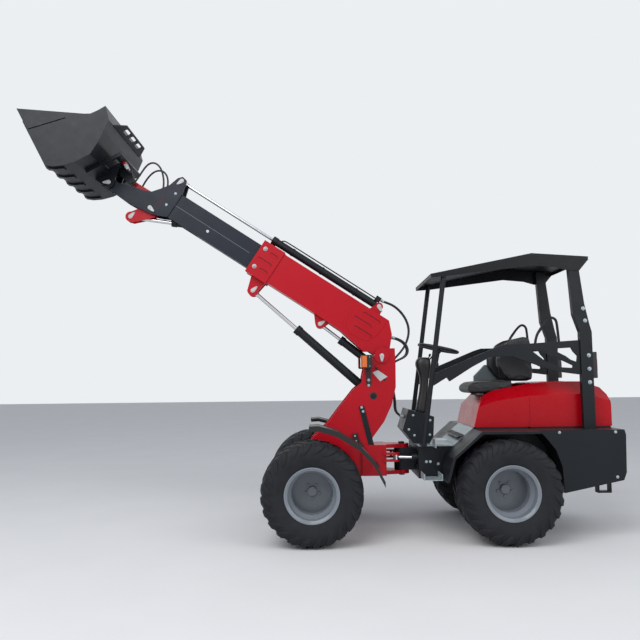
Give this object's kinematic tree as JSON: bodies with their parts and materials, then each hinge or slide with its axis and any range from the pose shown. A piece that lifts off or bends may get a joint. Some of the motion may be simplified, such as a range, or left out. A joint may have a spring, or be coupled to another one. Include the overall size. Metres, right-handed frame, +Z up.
{
  "type": "telescopic wheel loader",
  "caption": "Compact articulated wheel loader with a telescopic boom raised over the front axle, a tilting bucket, an open canopy over the seat and a faceted engine hood.",
  "frame": {"origin": "centre of the bounding box in plan, on the ground under the tyres", "axes": "+X from the bucket to the tail, -X forward; +Y to the operator's right; +Z up. The boom is raised, as in the picture."},
  "size_m": [4.8556, 1.49, 3.461],
  "materials": {
    "black_plastic": "matt",
    "boom_grey": "satin paint",
    "boom_red": "gloss paint",
    "bucket_black": "satin paint",
    "dark_paint": "satin powder coat",
    "engine_iron": "as cast",
    "galvanised": "zinc coated",
    "hood_red": "gloss paint",
    "hose_rubber": "matt",
    "rim_grey": "satin paint",
    "rod_chrome": "polished",
    "seat_vinyl": "grained",
    "tyre_rubber": "matt"
  },
  "bodies": {
    "rear_body": {"column": "black_plastic", "console": "rim_grey", "control_box": "dark_paint", "engine": "engine_iron", "front_posts": "dark_paint", "hood": "hood_red", "platform": "galvanised", "rear_axle": "dark_paint", "rear_chassis": "dark_paint", "rear_lamps": "black_plastic", "rear_mudguards": "dark_paint", "rear_posts": "dark_paint", "roof": "dark_paint", "seat_back": "seat_vinyl", "seat_base": "dark_paint", "seat_cushion": "seat_vinyl", "side_guards": "dark_paint", "steering_wheel": "black_plastic", "steps": "galvanised", "tail": "dark_paint", "tow_loop": "dark_paint", "tower_hoses": "hose_rubber"},
    "front_body": {"front_frame": "boom_red", "front_axle": "dark_paint", "front_mudguards": "dark_paint", "front_lamps": "black_plastic", "boom_hoses": "hose_rubber"},
    "outer_boom": {"outer_boom": "boom_red", "stage_barrel": "dark_paint", "stage_manifold": "dark_paint"},
    "inner_boom": {"inner_boom": "boom_grey", "stage_rod": "rod_chrome", "head_hoses": "hose_rubber"},
    "bucket": {"hitch": "bucket_black", "bucket": "bucket_black"},
    "rocker": {"rocker": "boom_red"},
    "tilt_link": {"tilt_link": "boom_red"},
    "tilt_barrel": {"tilt_barrel": "dark_paint"},
    "tilt_rod": {"tilt_rod": "rod_chrome"},
    "lift_barrel": {"lift_barrel": "dark_paint"},
    "lift_rod": {"lift_rod": "rod_chrome"},
    "level_barrel": {"level_barrel": "dark_paint"},
    "level_rod": {"level_rod": "rod_chrome"},
    "wheel_front_left": {"tyre_front_left": "tyre_rubber", "rim_front_left": "rim_grey"},
    "wheel_front_right": {"tyre_front_right": "tyre_rubber", "rim_front_right": "rim_grey"},
    "wheel_rear_left": {"tyre_rear_left": "tyre_rubber", "rim_rear_left": "rim_grey"},
    "wheel_rear_right": {"tyre_rear_right": "tyre_rubber", "rim_rear_right": "rim_grey"},
    "steer_barrel_left": {"steer_barrel_left": "dark_paint"},
    "steer_rod_left": {"steer_rod_left": "rod_chrome"},
    "steer_barrel_right": {"steer_barrel_right": "dark_paint"},
    "steer_rod_right": {"steer_rod_right": "rod_chrome"}
  },
  "joints": [
    {"name": "articulation", "type": "hinge", "parent": "rear_body", "child": "front_body", "pos_m": [0.67284, 0, 0], "axis": [0, 0, 1], "range_deg": [-35, 35], "deforming": ["tower_hoses"]},
    {"name": "wheel_front_left", "type": "hinge", "parent": "front_body", "child": "wheel_front_left", "pos_m": [-0.07716, -0.55, 0.391], "axis": [0, 1, 0], "continuous": true},
    {"name": "wheel_front_right", "type": "hinge", "parent": "front_body", "child": "wheel_front_right", "pos_m": [-0.07716, 0.55, 0.391], "axis": [0, 1, 0], "continuous": true},
    {"name": "wheel_rear_left", "type": "hinge", "parent": "rear_body", "child": "wheel_rear_left", "pos_m": [1.40884, -0.55, 0.391], "axis": [0, 1, 0], "continuous": true},
    {"name": "wheel_rear_right", "type": "hinge", "parent": "rear_body", "child": "wheel_rear_right", "pos_m": [1.40884, 0.55, 0.391], "axis": [0, 1, 0], "continuous": true},
    {"name": "boom_lift", "type": "hinge", "parent": "front_body", "child": "outer_boom", "pos_m": [0.51084, 0, 1.437], "axis": [0, 1, 0], "range_deg": [-65, 25], "deforming": ["boom_hoses"]},
    {"name": "boom_extension", "type": "slide", "parent": "outer_boom", "child": "inner_boom", "axis": [-0.8358, 0, 0.549], "range_m": [-0.56, 0]},
    {"name": "bucket_tilt", "type": "hinge", "parent": "inner_boom", "child": "bucket", "pos_m": [-1.80795, 0, 2.95777], "axis": [0, 1, 0], "range_deg": [-105, 10]},
    {"name": "rocker_turn", "type": "hinge", "parent": "inner_boom", "child": "rocker", "pos_m": [-1.45642, 0, 2.73523], "axis": [0, 1, 0], "range_deg": [-105, 10]},
    {"name": "link_turn", "type": "hinge", "parent": "bucket", "child": "tilt_link", "pos_m": [-1.63224, 0, 2.97755], "axis": [0, 1, 0], "range_deg": [-10, 105]},
    {"name": "lift_barrel_turn", "type": "hinge", "parent": "front_body", "child": "lift_barrel", "pos_m": [0.44684, 0, 1.096], "axis": [0, 1, 0], "range_deg": [-61.12, 23.52]},
    {"name": "lift_rod_travel", "type": "slide", "parent": "lift_barrel", "child": "lift_rod", "axis": [-0.7458, 0, 0.6662], "range_m": [-0.3998, 0.1541]},
    {"name": "level_barrel_turn", "type": "hinge", "parent": "front_body", "child": "level_barrel", "pos_m": [0.47584, 0, 1.34], "axis": [0, 1, 0], "range_deg": [-65.28, 25.12]},
    {"name": "level_rod_travel", "type": "slide", "parent": "level_barrel", "child": "level_rod", "axis": [-0.7856, 0, 0.6187], "range_m": [-0.1094, 0.0424]},
    {"name": "tilt_barrel_turn", "type": "hinge", "parent": "inner_boom", "child": "tilt_barrel", "pos_m": [-0.84025, 0, 2.54943], "axis": [0, 1, 0], "range_deg": [-9.47, 0.92]},
    {"name": "tilt_rod_travel", "type": "slide", "parent": "tilt_barrel", "child": "tilt_rod", "axis": [-0.9887, 0, 0.1498], "range_m": [-0.2846, 0.0276]},
    {"name": "steer_barrel_turn_left", "type": "hinge", "parent": "rear_body", "child": "steer_barrel_left", "pos_m": [1.01284, -0.205, 0.6], "axis": [0, 0, 1], "range_deg": [-3.17, 3.17]},
    {"name": "steer_rod_travel_left", "type": "slide", "parent": "steer_barrel_left", "child": "steer_rod_left", "axis": [-0.9871, 0.1604, 0], "range_m": [-0.0891, 0.0891]},
    {"name": "steer_barrel_turn_right", "type": "hinge", "parent": "rear_body", "child": "steer_barrel_right", "pos_m": [1.01284, 0.205, 0.6], "axis": [0, 0, 1], "range_deg": [-3.17, 3.17]},
    {"name": "steer_rod_travel_right", "type": "slide", "parent": "steer_barrel_right", "child": "steer_rod_right", "axis": [-0.9871, -0.1604, 0], "range_m": [-0.0891, 0.0891]}
  ],
  "couplings": [
    {"joint": "rocker_turn", "follows": "bucket_tilt", "ratio": 1},
    {"joint": "link_turn", "follows": "bucket_tilt", "ratio": -1},
    {"joint": "tilt_barrel_turn", "follows": "bucket_tilt", "ratio": 0.09},
    {"joint": "tilt_rod_travel", "follows": "bucket_tilt", "m_per_rad": 0.155},
    {"joint": "lift_barrel_turn", "follows": "boom_lift", "ratio": 0.94},
    {"joint": "lift_rod_travel", "follows": "boom_lift", "m_per_rad": 0.352},
    {"joint": "level_barrel_turn", "follows": "boom_lift", "ratio": 1.004},
    {"joint": "level_rod_travel", "follows": "boom_lift", "m_per_rad": 0.096},
    {"joint": "steer_barrel_turn_left", "follows": "articulation", "ratio": 0.09},
    {"joint": "steer_rod_travel_left", "follows": "articulation", "m_per_rad": -0.145},
    {"joint": "steer_barrel_turn_right", "follows": "articulation", "ratio": 0.09},
    {"joint": "steer_rod_travel_right", "follows": "articulation", "m_per_rad": 0.145}
  ]
}
